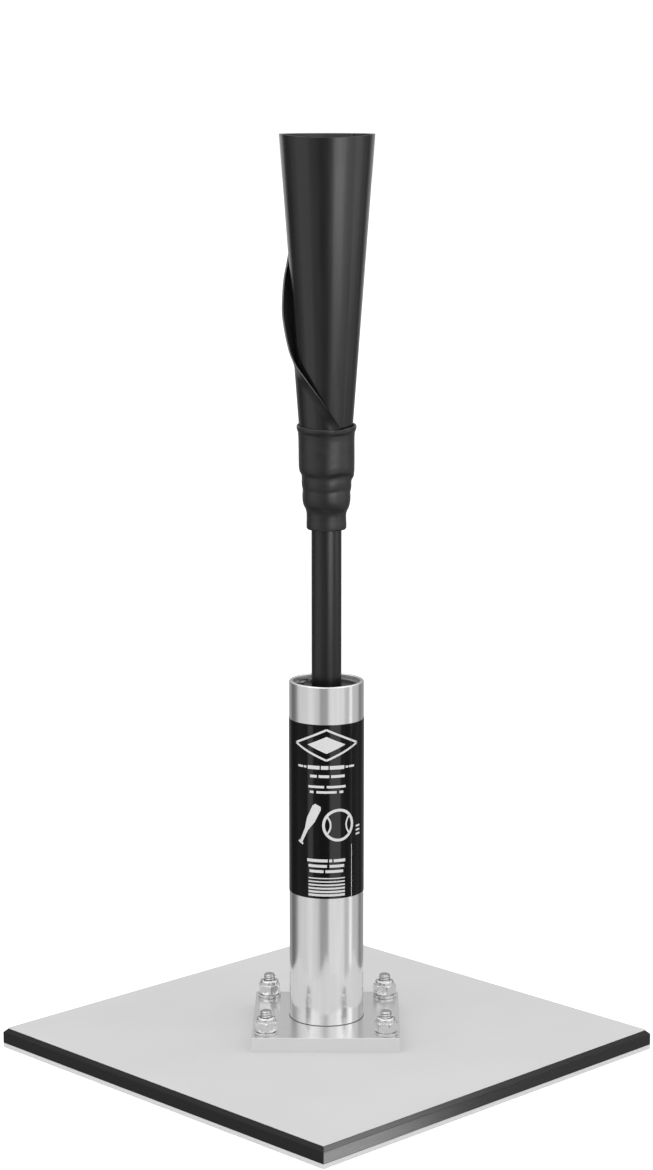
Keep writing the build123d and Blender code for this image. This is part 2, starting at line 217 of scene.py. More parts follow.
def add_softbox(name, side, reach, height, size, power, only=(), aim_height=0.2):
    """A square area light, side degrees to the camera's right, aimed at the tee's axis. With
    only, it lights those pieces alone, and nothing else shades them from it."""
    data = bpy.data.lights.new(name, "AREA")
    data.energy = power
    data.size = size
    light = bpy.data.objects.new(name, data)
    a = FRONT + radians(side)
    light.location = (reach * cos(a), reach * sin(a), height)
    aim = Vector((0, 0, aim_height)) - light.location
    light.rotation_euler = aim.to_track_quat("-Z", "Y").to_euler()
    light.visible_camera = False
    bpy.context.scene.collection.objects.link(light)
    if only:
        lit = bpy.data.collections.new(name + "_lights")
        for piece in only:
            lit.objects.link(piece)
        light.light_linking.receiver_collection = lit
        light.light_linking.blocker_collection = lit


FLOOR_HALF = 12.0
FLOOR_DROP = 0.3 * MM  # keeps the paper just clear of the base's underside
FLOOR_GLOW = 0.34  # brings the paper up to the backdrop's white


def floor_finish():
    material = bpy.data.materials.new("floor_paper")
    material.use_nodes = True
    tree = material.node_tree
    shader = tree.nodes["Principled BSDF"]
    grain = wire(tree, "ShaderNodeTexNoise", {"Scale": 60.0, "Detail": 4.0})
    greys = ramp(tree, grain.outputs["Fac"], [(NOISE_LOW, 0.93), (NOISE_HIGH, 0.96)])
    tree.links.new(greys, shader.inputs["Base Color"])
    shader.inputs["Roughness"].default_value = 0.9
    shader.inputs["Specular IOR Level"].default_value = 0.1
    shader.inputs["Emission Color"].default_value = (1, 1, 1, 1)
    shader.inputs["Emission Strength"].default_value = FLOOR_GLOW
    return material


def make_floor(material):
    """White paper under the tee. Reflections miss it and show the world's lower half."""
    signs = ((-1, -1), (1, -1), (1, 1), (-1, 1))
    corners = [(x * FLOOR_HALF, y * FLOOR_HALF, 0) for x, y in signs]
    mesh = bpy.data.meshes.new("floor")
    mesh.from_pydata(corners, [], [(0, 1, 2, 3)])
    mesh.materials.append(material)
    floor = bpy.data.objects.new("floor", mesh)
    bpy.context.scene.collection.objects.link(floor)
    floor.location.z = -FLOOR_DROP
    floor.visible_glossy = False


# ---- materials -----------------------------------------------------------------


class Finish:
    """One procedural material: a noise in the object's own coordinates, stretched by grain
    (cycles per metre along X, Y and Z), drives colour, roughness and bump."""

    def __init__(self, name, grain=(900, 900, 900), detail=4.0):
        self.material = bpy.data.materials.new(name)
        self.material.use_nodes = True
        self.tree = self.material.node_tree
        self.shader = self.tree.nodes["Principled BSDF"]
        self.coords = wire(self.tree, "ShaderNodeTexCoord").outputs["Object"]
        self.noise = self.grained(grain, detail)

    def grained(self, grain, detail=4.0):
        """A noise stretched by grain, as a socket from 0 to 1."""
        scaled = wire(self.tree, "ShaderNodeMapping", {"Vector": self.coords, "Scale": grain})
        noise = wire(
            self.tree,
            "ShaderNodeTexNoise",
            {"Vector": scaled.outputs["Vector"], "Scale": 1.0, "Detail": detail},
        )
        return noise.outputs["Fac"]

    def colour(self, low, high, fac=None):
        greys = ramp(self.tree, fac or self.noise, [(NOISE_LOW, low), (NOISE_HIGH, high)])
        self.tree.links.new(greys, self.shader.inputs["Base Color"])
        return self

    def rough(self, low, high, fac=None):
        ends = {"From Min": NOISE_LOW, "From Max": NOISE_HIGH, "To Min": low, "To Max": high}
        node = wire(self.tree, "ShaderNodeMapRange", {"Value": fac or self.noise, **ends})
        self.tree.links.new(node.outputs["Result"], self.shader.inputs["Roughness"])
        return self

    def bump(self, depth, fac=None):
        """Depth is the height of the relief in metres."""
        node = wire(
            self.tree,
            "ShaderNodeBump",
            {"Height": fac or self.noise, "Strength": 1.0, "Distance": depth},
        )
        self.tree.links.new(node.outputs["Normal"], self.shader.inputs["Normal"])
        return self

    def set(self, **values):
        for key, value in values.items():
            self.shader.inputs[key.replace("_", " ")].default_value = value
        return self

    def brushed_round(self, amount):
        """Fine marks that run round Z, as on a turned or centreless-ground tube."""
        tangent = wire(self.tree, "ShaderNodeTangent", direction_type="RADIAL", axis="Z")
        self.tree.links.new(tangent.outputs["Tangent"], self.shader.inputs["Tangent"])
        self.shader.inputs["Anisotropic"].default_value = amount
        return self


def skin_finish():
    finish = Finish("pale_laminate", grain=(2600, 2600, 2600))
    mottle = finish.grained((14, 14, 14), detail=3.0)
    return finish.colour(0.655, 0.685, mottle).rough(0.48, 0.58).bump(0.000012).material


def core_finish():
    finish = Finish("black_core_edge", grain=(60, 60, 5200))
    finish.colour(0.004, 0.007).rough(0.26, 0.34).bump(0.000004)
    return finish.set(Specular_IOR_Level=0.30).material


def sheet_finish():
    finish = Finish("pale_rubber_sheet", grain=(1500, 1500, 1500))
    return finish.colour(0.60, 0.67).rough(0.6, 0.75).bump(0.00002).material


def flange_finish():
    finish = Finish("ground_plate", grain=(140, 5200, 140), detail=5.0)
    finish.colour(0.86, 0.92).rough(0.18, 0.26).bump(0.0000012)
    return finish.set(Metallic=1.0).material


def tube_finish():
    finish = Finish("polished_tube", grain=(500, 500, 24), detail=5.0)
    rings = finish.grained((30, 30, 9000), detail=3.0)
    finish.colour(0.86, 0.92).rough(0.12, 0.18, rings).bump(0.0000010)
    return finish.set(Metallic=1.0).brushed_round(0.75).material


def bore_finish():
    finish = Finish("bored_tube", grain=(40, 40, 7000))
    finish.colour(0.80, 0.88).rough(0.30, 0.42).bump(0.000004)
    return finish.set(Metallic=1.0).material


# A near-black colour for a thin ring at the tube's foot: painted shade in the groove there.
def foot_shade_finish():
    finish = Finish("painted_foot_shade", grain=(2200, 2200, 2200))
    return finish.colour(0.03, 0.06).rough(0.45, 0.6).bump(0.00001).material


def label_finish():
    finish = Finish("black_gloss_film", grain=(320, 320, 320))
    finish.colour(0.002, 0.003).rough(0.10, 0.15).bump(0.000004)
    return finish.set(Specular_IOR_Level=0.13).material


# A pale colour for the lower stretch of the label's cut edge: a painted highlight.
def cut_film_highlight_finish():
    finish = Finish("cut_film_painted_highlight", grain=(900, 900, 900))
    return finish.colour(0.42, 0.50).rough(0.35, 0.45).bump(0.000004).material


def print_finish():
    finish = Finish("white_print", grain=(1400, 1400, 1400))
    return finish.colour(0.60, 0.68).rough(0.28, 0.36).bump(0.000003).material


def zinc_finish():
    finish = Finish("bright_zinc", grain=(700, 700, 700))
    finish.colour(0.70, 0.78).rough(0.08, 0.13).bump(0.000002)
    return finish.set(Metallic=1.0).material


def stud_finish():
    finish = Finish("zinc_thread", grain=(700, 700, 700))
    finish.colour(0.46, 0.54).rough(0.14, 0.22).bump(0.000002)
    return finish.set(Metallic=1.0).material


def steel_finish():
    finish = Finish("plain_steel", grain=(300, 300, 2500))
    finish.colour(0.30, 0.38).rough(0.26, 0.40).bump(0.000004)
    return finish.set(Metallic=1.0).material


def mill_finish():
    finish = Finish("turned_aluminium", grain=(60, 60, 6500))
    finish.colour(0.60, 0.66).rough(0.26, 0.36).bump(0.000005)
    return finish.set(Metallic=1.0).material


def nylon_finish():
    finish = Finish("white_nylon", grain=(1200, 1200, 1200))
    return finish.colour(0.66, 0.72).rough(0.40, 0.5).bump(0.000006).material


def acetal_finish():
    finish = Finish("black_acetal", grain=(90, 90, 5200))
    return finish.colour(0.005, 0.009).rough(0.42, 0.55).bump(0.000008).material


def stem_finish():
    finish = Finish("black_satin_stem", grain=(900, 900, 45), detail=5.0)
    finish.colour(0.005, 0.008).rough(0.26, 0.34).bump(0.000004)
    return finish.set(Specular_IOR_Level=0.38).material


def boot_finish():
    finish = Finish("drawn_rubber", grain=(120, 120, 260))
    fine = finish.grained((2400, 2400, 2400))
    finish.colour(0.007, 0.012).rough(0.32, 0.42).bump(0.00002, fine)
    return finish.set(Specular_IOR_Level=0.44).material


def cone_finish():
    finish = Finish("rolled_rubber_sheet", grain=(260, 260, 16), detail=5.0)
    fine = finish.grained((2600, 2600, 2600))
    finish.colour(0.004, 0.007).rough(0.19, 0.27).bump(0.000012, fine)
    return finish.set(Specular_IOR_Level=0.45).material


# The cone's own rubber, rougher and painted lighter: painted light on the roll's inner faces, where
# little light reaches.
def cone_inside_light_finish():
    finish = Finish("rolled_rubber_painted_light", grain=(260, 260, 30), detail=5.0)
    fine = finish.grained((2600, 2600, 2600))
    finish.colour(0.030, 0.044).rough(0.50, 0.62).bump(0.000012, fine)
    return finish.set(Specular_IOR_Level=0.45).material


# Paler than the cone's rubber: a painted highlight along the sheet's cut edges.
def cut_edge_highlight_finish():
    finish = Finish("cut_rubber_painted_highlight", grain=(1500, 1500, 400))
    return finish.colour(0.10, 0.16).rough(0.5, 0.65).bump(0.00002).material


def inner_rubber_finish():
    finish = Finish("plain_rubber", grain=(1100, 1100, 1100))
    return finish.colour(0.010, 0.016).rough(0.5, 0.65).bump(0.00003).material


def o_ring_finish():
    finish = Finish("nitrile", grain=(1800, 1800, 1800))
    return finish.colour(0.010, 0.016).rough(0.34, 0.42).bump(0.000004).material


# ---- mesh helpers --------------------------------------------------------------

SEGMENTS = 144
SMOOTH_ANGLE = radians(32)
BEVEL_SMOOTH_ANGLE = radians(12)  # keeps the faces beside a small bevel flat
ON_AXIS = 0.0001 * MM


def finish_mesh(name, bm, material, smooth_angle=SMOOTH_ANGLE):
    """Turn a bmesh into an object of that name with one material and smooth shading."""
    bmesh.ops.recalc_face_normals(bm, faces=bm.faces)
    mesh = bpy.data.meshes.new(name)
    bm.to_mesh(mesh)
    bm.free()
    mesh.shade_smooth()
    mesh.set_sharp_from_angle(angle=smooth_angle)
    mesh.materials.append(material)
    piece = bpy.data.objects.new(name, mesh)
    bpy.context.scene.collection.objects.link(piece)
    return piece


def soften(points, radius, steps=3, closed=True):
    """Round an outline's corners; an open outline keeps its two ends."""
    count = len(points)
    soft = []
    for i, corner in enumerate(points):
        if not closed and i in (0, count - 1):
            soft.append(corner)
            continue
        p = Vector(corner)
        sides = (Vector(points[i - 1]) - p, Vector(points[(i + 1) % count]) - p)
        start, end = (p + s.normalized() * min(radius, 0.45 * s.length) for s in sides)
        for k in range(steps + 1):
            t = k / steps
            soft.append(tuple(start.lerp(p, t).lerp(p.lerp(end, t), t)))
    return soft


def turned(outline, shape=None, segments=SEGMENTS, into=None, place=None):
    """A bmesh turned about Z from (radius, height) points. The outline closes on itself, or
    starts and ends on the axis. shape(radius, height, angle) may move each point."""
    bm = into or bmesh.new()
    place = place or Matrix.Identity(4)
    rings = []
    for r, z in outline:
        if r < ON_AXIS:
            rings.append([bm.verts.new(place @ Vector((0, 0, z)))])
            continue
        ring = []
        for i in range(segments):
            a = tau * i / segments
            ri, zi = shape(r, z, a) if shape else (r, z)
            ring.append(bm.verts.new(place @ Vector((ri * cos(a), ri * sin(a), zi))))
        rings.append(ring)
    solid = len(rings[0]) == 1
    following = rings[1:] if solid else rings[1:] + rings[:1]
    for lower, upper in zip(rings, following):
        for i in range(segments):
            j = (i + 1) % segments
            corners = (
                lower[i % len(lower)],
                lower[j % len(lower)],
                upper[j % len(upper)],
                upper[i % len(upper)],
            )
            bm.faces.new(dict.fromkeys(corners))
    return bm


def arc_points(across, up, radius, start, end, steps):
    """Points along an arc round (across, up); 0 degrees is outwards and 90 upwards."""
    angles = [radians(start + (end - start) * k / steps) for k in range(steps + 1)]
    return [(across + radius * cos(a), up + radius * sin(a)) for a in angles]


def levels(low, high, step):
    """Heights from low to high, about step apart."""
    count = max(1, ceil(abs(high - low) / step))
    return [low + (high - low) * k / count for k in range(count + 1)]


def rise(value, start, end):
    """0 up to start, 1 from end on, and straight between them."""
    return min(max((value - start) / (end - start), 0.0), 1.0)


def near(value, centre, reach):
    """1 at the centre, falling straight to 0 at that reach on either side."""
    return max(0.0, 1 - abs(value - centre) / reach)


def camera_side(angle):
    """An angle about Z, from the side that faces the camera, from -pi to pi."""
    return (angle - FRONT + pi) % tau - pi


def smooth_curve(points):
    """A smooth function through given (x, y) points, flat beyond its ends."""
    xs, ys = (np.array(column, float) for column in zip(*points))
    slopes = np.gradient(ys, xs)

    def value(x):
        x = min(max(x, xs[0]), xs[-1])
        k = min(int(np.searchsorted(xs, x, side="right")) - 1, len(xs) - 2)
        h = xs[k + 1] - xs[k]
        t = (x - xs[k]) / h
        return (
            (1 + 2 * t) * (1 - t) ** 2 * ys[k]
            + t * (1 - t) ** 2 * h * slopes[k]
            + t * t * (3 - 2 * t) * ys[k + 1]
            + t * t * (t - 1) * h * slopes[k + 1]
        )

    return value


def put(piece, body, slot, *nodes):
    """The piece rides on a body and stands for these CAD nodes; slot is not used."""
    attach(piece, body)
    if nodes:
        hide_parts(*nodes)
    return piece


def round_edges(bm, width, sharper_than):
    """Slightly round the edges where the faces turn by more than that many degrees."""
    limit = radians(sharper_than)
    bmesh.ops.bevel(
        bm,
        geom=[e for e in bm.edges if len(e.link_faces) == 2 and e.calc_face_angle(0) > limit],
        offset=width,
        segments=2,
        profile=0.6,
        affect="EDGES",
        clamp_overlap=True,
    )


def micro_bevel(node, name, material, width, body, slot):
    """A copy of a CAD node's shape whose sharp edges are slightly rounded."""
    bm = bmesh.new()
    bm.from_mesh(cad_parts[node].data)
    bmesh.ops.remove_doubles(bm, verts=bm.verts, dist=0.001 * MM)
    bmesh.ops.dissolve_limit(bm, angle_limit=radians(0.5), verts=bm.verts, edges=bm.edges)
    round_edges(bm, width, sharper_than=30)
    return put(finish_mesh(name, bm, material, BEVEL_SMOOTH_ANGLE), body, slot, node)


def dress(node, material):
    """A CAD node keeps its shape and gets a procedural material."""
    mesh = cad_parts[node].data
    mesh.materials.clear()
    mesh.materials.append(material)
    for face in mesh.polygons:
        face.material_index = 0


# ---- tube, label, stem and bushing ---------------------------------------------

tube_low, tube_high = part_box("outer_tube")
TUBE_R = tube_high.x
TUBE_FOOT = tube_low.z
TUBE_TOP = tube_high.z
TUBE_BORE_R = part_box("guide_bushing")[1].x
TUBE_SEGMENTS = 192


def make_tube(material, bore_material):
    """A tube with rounded rims, and a groove in its bore for the snap ring."""
    ring_low, ring_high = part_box("bushing_snap_ring")
    rim = 0.8 * MM
    inner_rim = 0.6 * MM
    foot_edge = 0.25 * MM
    outline = [
        (TUBE_BORE_R, TUBE_FOOT),
        (TUBE_R - foot_edge, TUBE_FOOT),
        (TUBE_R, TUBE_FOOT + foot_edge),
    ]
    outline += [(TUBE_R, z) for z in levels(TUBE_FOOT + 2 * MM, TUBE_TOP - 2 * MM, 6 * MM)]
    outline += arc_points(TUBE_R - rim, TUBE_TOP - rim, rim, 0, 90, 5)
    outline += arc_points(TUBE_BORE_R + inner_rim, TUBE_TOP - inner_rim, inner_rim, 90, 180, 5)
    outline += [
        (TUBE_BORE_R, ring_high.z),
        (ring_high.x, ring_high.z),
        (ring_high.x, ring_low.z),
        (TUBE_BORE_R, ring_low.z),
    ]
    tube = finish_mesh("polished_tube", turned(outline, segments=TUBE_SEGMENTS), material)
    tube.data.materials.append(bore_material)
    for face in tube.data.polygons:
        if face.center.xy.length < TUBE_BORE_R + 0.1 * MM:
            face.material_index = 1
    return put(tube, "stand", "tube", "outer_tube")


def make_foot_shade_ring(material):
    """A thin dark ring where the tube stands on the flange plate: painted shade in the groove at
    the tube's foot.
    """
    shade_ring_r = 0.28 * MM
    outline = [(TUBE_R - shade_ring_r, TUBE_FOOT)]
    outline += arc_points(TUBE_R, TUBE_FOOT, shade_ring_r, 0, 90, 4)
    outline += [(TUBE_R - shade_ring_r, TUBE_FOOT + shade_ring_r)]
    shade_ring = finish_mesh("painted_shade_ring", turned(outline, segments=TUBE_SEGMENTS), material)
    return put(shade_ring, "stand", "inner_hardware")


LAP_ANGLE = radians(41.3)  # where the label's cut edge is, from the camera's side
LAP_WIDTH = radians(16)
LAP_STEP = 0.11 * MM
LAP_HIGHLIGHT_RISE = 29 * MM  # how far up from the label's foot the cut edge is painted pale, as a painted highlight
LABEL_SEGMENTS = 720


def lap_lift(a):
    """How far the label's lapping end lifts its surface at the angle a about Z."""
    past = (camera_side(a) - LAP_ANGLE) % tau
    return LAP_STEP * near(past, 0.0, LAP_WIDTH)


def make_label(material, highlight_material):
    """A film wrapped once round the tube; its end laps over its start by a few degrees, and
    the lower stretch of its cut edge is painted pale, as a painted highlight."""
    low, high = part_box("label_wrap")
    film = high.x
    inside = TUBE_R - 0.05 * MM
    edge = 0.06 * MM

    def lapped(r, z, a):
        return (r + lap_lift(a) if r > TUBE_R else r), z

    foot = [(inside, low.z), (film, low.z), (film, low.z + MM)]
    head = [(film, high.z - MM), (film, high.z), (inside, high.z)]
    outline = soften(foot, edge, closed=False)
    outline += [(film, z) for z in levels(low.z + LAP_HIGHLIGHT_RISE, high.z - MM, 10 * MM)]
    outline += soften(head, edge, closed=False)[1:]
    label = finish_mesh("label_film", turned(outline, lapped, segments=LABEL_SEGMENTS), material)
    label.data.materials.append(highlight_material)
    for face in label.data.polygons:
        outwards = Vector((face.center.x, face.center.y, 0)).normalized()
        upright = abs(face.normal.z) < 0.5
        cut = upright and face.normal.dot(outwards) < 0.95 and face.center.xy.length > TUBE_R
        # the lower stretch of the cut edge gets the painted highlight
        if cut and face.center.z < low.z + LAP_HIGHLIGHT_RISE:
            face.material_index = 1
    return put(label, "stand", "label", "label_wrap")


def make_stem(material):
    """A tube that is open at both ends; its foot takes the foot plug."""
    low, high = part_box("stem")
    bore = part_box("stem_foot_plug")[1].x
    wall = [(bore, low.z), (high.x, low.z), (high.x, high.z), (bore, high.z)]
    stem = finish_mesh("satin_stem", turned(soften(wall, 0.4 * MM)), material)
    return put(stem, "stem", "stem", "stem")


def make_bushing(material):
    """A turned guide bushing: its top is sunk between two rims, and its bore has grooves for
    the O-rings and a lead-in at each end."""
    low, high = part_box("guide_bushing")
    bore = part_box("stem")[1].x + 0.05 * MM
    lead = 1.1 * MM
    sunk = 0.35 * MM
    outline = [
        (bore + lead, low.z),
        (high.x, low.z),
        (high.x, high.z),
        (high.x - 2.2 * MM, high.z),
        (high.x - 2.5 * MM, high.z - sunk),
        (bore + 2.2 * MM, high.z - sunk),
        (bore + 2.0 * MM, high.z),
        (bore + lead, high.z),
        (bore, high.z - lead),
    ]
    ring_low, ring_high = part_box("bushing_o_rings")
    half_ring = 0.9 * MM
    half_groove = 1.1 * MM
    for centre in (ring_high.z - half_ring, ring_low.z + half_ring):
        head = centre + half_groove
        foot = centre - half_groove
        outline += [(bore, head), (ring_high.x, head), (ring_high.x, foot), (bore, foot)]
    outline += [(bore, low.z + lead)]
    bushing = finish_mesh("turned_bushing", turned(soften(outline, 0.12 * MM, 2)), material)
    return put(bushing, "stand", "bushing", "guide_bushing")


# ---- label print: plain shapes -------------------------------------------------

# all in millimetres on the unrolled label: across from its middle, and up from its foot
PRINT_LIFT = 0.05
PRINT_ROOT = -0.1
PRINT_STRIP = 0.8
TOUCHING = 0.0001  # this near to an edge's end still counts as on the edge
UPRIGHT = 0.001  # an edge narrower than this stands upright
THINNEST = 0.02  # a tip gets this height, so that its slab closes


class Print:
    """White shapes laid on the label as thin curved slabs."""

    def __init__(self):
        self.bm = bmesh.new()
        self.low, self.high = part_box("label_wrap")

    def vertex(self, across, up, lift):
        a = FRONT + across * MM / self.high.x
        r = self.high.x + lift * MM + lap_lift(a)
        return self.bm.verts.new((r * cos(a), r * sin(a), self.low.z + up * MM))

    def shape(self, corners):
        """A convex shape over (across, up) corners, cut in narrow strips that follow the round."""
        xs = sorted({round(x, 4) for x, y in corners})
        marks = []
        for left, right in zip(xs, xs[1:]):
            count = max(1, ceil((right - left) / PRINT_STRIP))
            marks += [left + (right - left) * k / count for k in range(count)]
        marks.append(xs[-1])
        columns = []
        for x in marks:
            foot, head = self.span(corners, x)
            spots = ((foot, PRINT_ROOT), (foot, PRINT_LIFT), (head, PRINT_LIFT), (head, PRINT_ROOT))
            columns.append([self.vertex(x, y, lift) for y, lift in spots])
        for left, right in zip(columns, columns[1:]):
            for i in range(4):
                j = (i + 1) % 4
                self.bm.faces.new((left[i], left[j], right[j], right[i]))
        self.bm.faces.new(columns[0])
        self.bm.faces.new(columns[-1][::-1])

    @staticmethod
    def span(corners, x):
        """Lowest and highest point of the shape at x."""
        heights = []
        for (x0, y0), (x1, y1) in zip(corners, corners[1:] + corners[:1]):
            if not min(x0, x1) - TOUCHING <= x <= max(x0, x1) + TOUCHING:
                continue
            if abs(x1 - x0) <= UPRIGHT:
                heights += [y0, y1]
            else:
                heights.append(y0 + (y1 - y0) * rise(x, x0, x1))
        foot = min(heights)
        head = max(heights)
        if head - foot > THINNEST:
            return foot, head
        return foot - THINNEST / 2, foot + THINNEST / 2

    def bar(self, left, right, centre, height):
        foot = centre - height / 2
        head = centre + height / 2
        self.shape([(left, foot), (right, foot), (right, head), (left, head)])

    def row(self, left, right, centre, height, words, gap=0.9):
        """A bar cut in pieces of the given relative lengths, as a line of words would be."""
        unit = (right - left - gap * (len(words) - 1)) / sum(words)
        for length in words:
            self.bar(left, left + length * unit, centre, height)
            left += length * unit + gap

    def stroke(self, start, end, width_a, width_b=None):
        """A straight tapered stroke between two points."""
        a = Vector(start)
        b = Vector(end)
        side = (b - a).normalized().orthogonal()
        at_a = side * width_a / 2
        at_b = side * (width_b or width_a) / 2
        self.shape([tuple(corner) for corner in (a - at_a, b - at_b, b + at_b, a + at_a)])

    def arc(self, centre, radius, width, start, end, steps):
        """A round stroke; angles in degrees."""
        inner = arc_points(*centre, radius - width / 2, start, end, steps)
        outer = arc_points(*centre, radius + width / 2, start, end, steps)
        for k in range(steps):
            self.shape([inner[k], outer[k], outer[k + 1], inner[k + 1]])


def make_print(material):
    """A diamond badge, bars in place of words, a bat and ball, and a block of stripes."""
    art = Print()
    middle = 84.1
    # badge: a long diamond outline round a solid diamond
    tips = [(-18.5, middle), (0.0, middle - 8.3), (18.5, middle), (0.0, middle + 8.3)]
    for a, b in zip(tips, tips[1:] + tips[:1]):
        art.stroke(a, b, 1.1)
    art.shape([(-10.5, middle), (0.0, middle - 4.6), (10.5, middle), (0.0, middle + 4.6)])
    # bars where small print would be
    art.row(-16.8, -11.2, 71.9, 1.1, (2, 1), 0.5)
    art.row(-10.4, 9.8, 71.9, 2.0, (5, 3, 6), 0.7)
    art.row(10.6, 16.2, 71.9, 1.1, (1, 2), 0.5)
    art.row(-9.0, 10.0, 67.1, 1.5, (2, 3, 4), 1.0)
    art.row(-10.0, 10.6, 61.4, 1.3, (5, 6), 1.4)
    art.row(-9.2, 9.2, 58.5, 1.3, (1, 5, 1), 1.6)
    art.row(-10.8, 10.4, 21.0, 1.6, (7, 1, 4), 0.8)
    art.row(-10.0, 9.8, 18.0, 1.5, (5, 4), 1.4)
    art.row(-9.4, 9.2, 15.1, 1.5, (4, 5), 1.0)
    # bat: knob, handle, taper and barrel along a slanting line
    foot = Vector((-15.2, 29.6))
    along = (Vector((-4.6, 51.4)) - foot).normalized()
    art.stroke(foot, foot + along * 1.1, 3.4)
    stations = ((1.1, 1.7), (9.0, 2.1), (15.0, 4.9), (22.6, 5.1), (24.2, 3.4))
    for (at, width), (to, next_width) in zip(stations, stations[1:]):
        art.stroke(foot + along * at, foot + along * to, width, next_width)
    # ball: a ring with two seams
    ball_x = 6.6
    ball_y = 40.4
    art.arc((ball_x, ball_y), 8.2, 1.5, 0, 360, 48)
    art.arc((ball_x - 11.2, ball_y), 6.8, 0.9, -44, 44, 12)
    art.arc((ball_x + 11.2, ball_y), 6.8, 0.9, 136, 224, 12)
    # a short column of ticks to the right
    for k in range(3):
        art.bar(17.8, 21.2, 34.0 + k * 2.2, 1.0)
    # a block of stripes that narrow upwards
    for k in range(6):
        art.bar(-10.0, 10.2, 2.0 + k * 1.85, 1.25 - 0.13 * k)
    piece = finish_mesh("label_print", art.bm, material)
    return put(piece, "stand", "label")


# ---- fasteners -----------------------------------------------------------------

WASHER_R = 6.3 * MM
STUD_R = 3.175 * MM
NUT_HALF_AF = 5.55 * MM
NUT_COLLAR_R = 5.2 * MM
NUT_FACE_R = 4.9 * MM  # the round face under the nut, a little smaller than its flats
BOLT_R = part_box("flat_washers")[1].x - WASHER_R
NUT_TURNS = (8, 34, 52, 21)  # each nut stopped at its own angle, in degrees


def bolt_places(turns=(0, 0, 0, 0)):
    """Where the four bolts stand, each turned on its own axis by those degrees."""
    outwards = Matrix.Translation((BOLT_R, 0, 0))
    for k, turn in enumerate(turns):
        corner = Matrix.Rotation(tau * k / 4, 4, "Z")
        yield corner @ outwards @ Matrix.Rotation(radians(turn), 4, "Z")


def hexagon(half_flats, a):
    """Radius of a hexagon in the direction a."""
    return half_flats / cos((a + pi / 6) % (pi / 3) - pi / 6)


def make_screws(material):
    """Countersunk screws from below: a hexagon socket, and a thread on what stands out."""
    low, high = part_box("base_screws")
    head_r = 6.2 * MM
    socket_floor = low.z + 2.2 * MM
    socket = 2 * MM
    socket_mouth = 1.001 * socket  # a slight taper
    pitch = 1.27 * MM
    thread_depth = 0.55 * MM
    thread_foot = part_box("lock_nuts")[1].z - 1.6 * MM
    chamfer_foot = high.z - 0.9 * MM
    head = [
        (0, socket_floor),
        (socket, socket_floor),
        (socket_mouth, low.z),
        (head_r - 0.2 * MM, low.z),
        (head_r, low.z + 0.2 * MM),
        (head_r - 0.2 * MM, low.z + 0.5 * MM),
        (STUD_R, low.z + 3.3 * MM),
    ]
    shank = [(STUD_R, z) for z in levels(thread_foot, high.z, pitch / 8)]
    outline = head + shank + [(0, high.z)]

    def threaded(r, z, a):
        if r <= socket_mouth:
            return hexagon(r, a), z
        if z < thread_foot or r < STUD_R:
            return r, z
        wave = abs((z / pitch - a / tau) % 1.0 - 0.5) * 2
        chamfer = 0.8 * max(0.0, z - chamfer_foot)
        return STUD_R - max(thread_depth * wave, chamfer), z

    bm = bmesh.new()
    for place in bolt_places():
        turned(outline, threaded, 48, bm, place)
    screws = finish_mesh("countersunk_screws", bm, material)
    return put(screws, "stand", "hardware", "base_screws")


def make_washers(material):
    """Stamped washers, their rolled edge down."""
    low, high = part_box("flat_washers")
    hole = STUD_R + 0.2 * MM
    roll = 0.5 * MM
    outline = [
        (hole, low.z),
        (WASHER_R - roll, low.z),
        (WASHER_R - 0.6 * roll, low.z + 0.45 * roll),
    ]
    upper = [(WASHER_R, low.z + 0.9 * roll), (WASHER_R, high.z), (hole, high.z)]
    outline += soften(upper, 0.3 * MM, closed=False)
    bm = bmesh.new()
    for place in bolt_places():
        turned(outline, None, 64, bm, place)
    washers = finish_mesh("flat_washers_round", bm, material)
    return put(washers, "stand", "hardware", "flat_washers")


def make_nuts(material):
    """Hexagon nuts with a domed collar that is rolled over a nylon ring."""
    low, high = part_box("lock_nuts")
    insert_low, insert_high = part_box("nut_inserts")
    corner = hexagon(NUT_HALF_AF, pi / 6)
    full = corner + 0.05 * MM  # past the corners, so that six_sided cuts it back all round
    hex_top = insert_low.z
    lip = STUD_R + 0.55 * MM
    insert_r = STUD_R + 0.9 * MM
    outline = [
        (STUD_R, low.z),
        (NUT_FACE_R, low.z),
        (NUT_FACE_R, low.z + 0.4 * MM),
        (corner - 0.9 * MM, low.z + 0.5 * MM),
        (full, low.z + 0.85 * MM),
        (full, low.z + 2.6 * MM),
        (full, hex_top - 0.6 * MM),
        (corner - 0.5 * MM, hex_top - 0.2 * MM),
        (corner - 0.95 * MM, hex_top),
    ]
    collar = [
        (NUT_COLLAR_R, hex_top + 0.05 * MM),
        (NUT_COLLAR_R, hex_top + 1.1 * MM),
        (NUT_COLLAR_R - 0.25 * MM, high.z - 0.5 * MM),
        (lip + 0.5 * MM, high.z),
        (lip, high.z - 0.25 * MM),
        (lip + 0.3 * MM, insert_high.z),
        (insert_r, insert_high.z),
        (insert_r, insert_low.z),
        (STUD_R, insert_low.z),
    ]
    outline += soften(collar, 0.25 * MM, 2, closed=False)

    def six_sided(r, z, a):
        on_flats = z < hex_top + 0.01 * MM
        return (min(r, hexagon(NUT_HALF_AF, a)) if on_flats else r), z

    bm = bmesh.new()
    for place in bolt_places(NUT_TURNS):
        turned(outline, six_sided, 72, bm, place)
    nuts = finish_mesh("lock_nuts_domed", bm, material)
    return put(nuts, "stand", "hardware", "lock_nuts")


# ---- boot, neck and cone -------------------------------------------------------

cone_low, cone_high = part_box("cone")

# heights up the boot in mm
BOOT_PROFILE_TOP = 54.2
BOOT_WALL_TOP = 54.6
LIP_CREST = 54.9

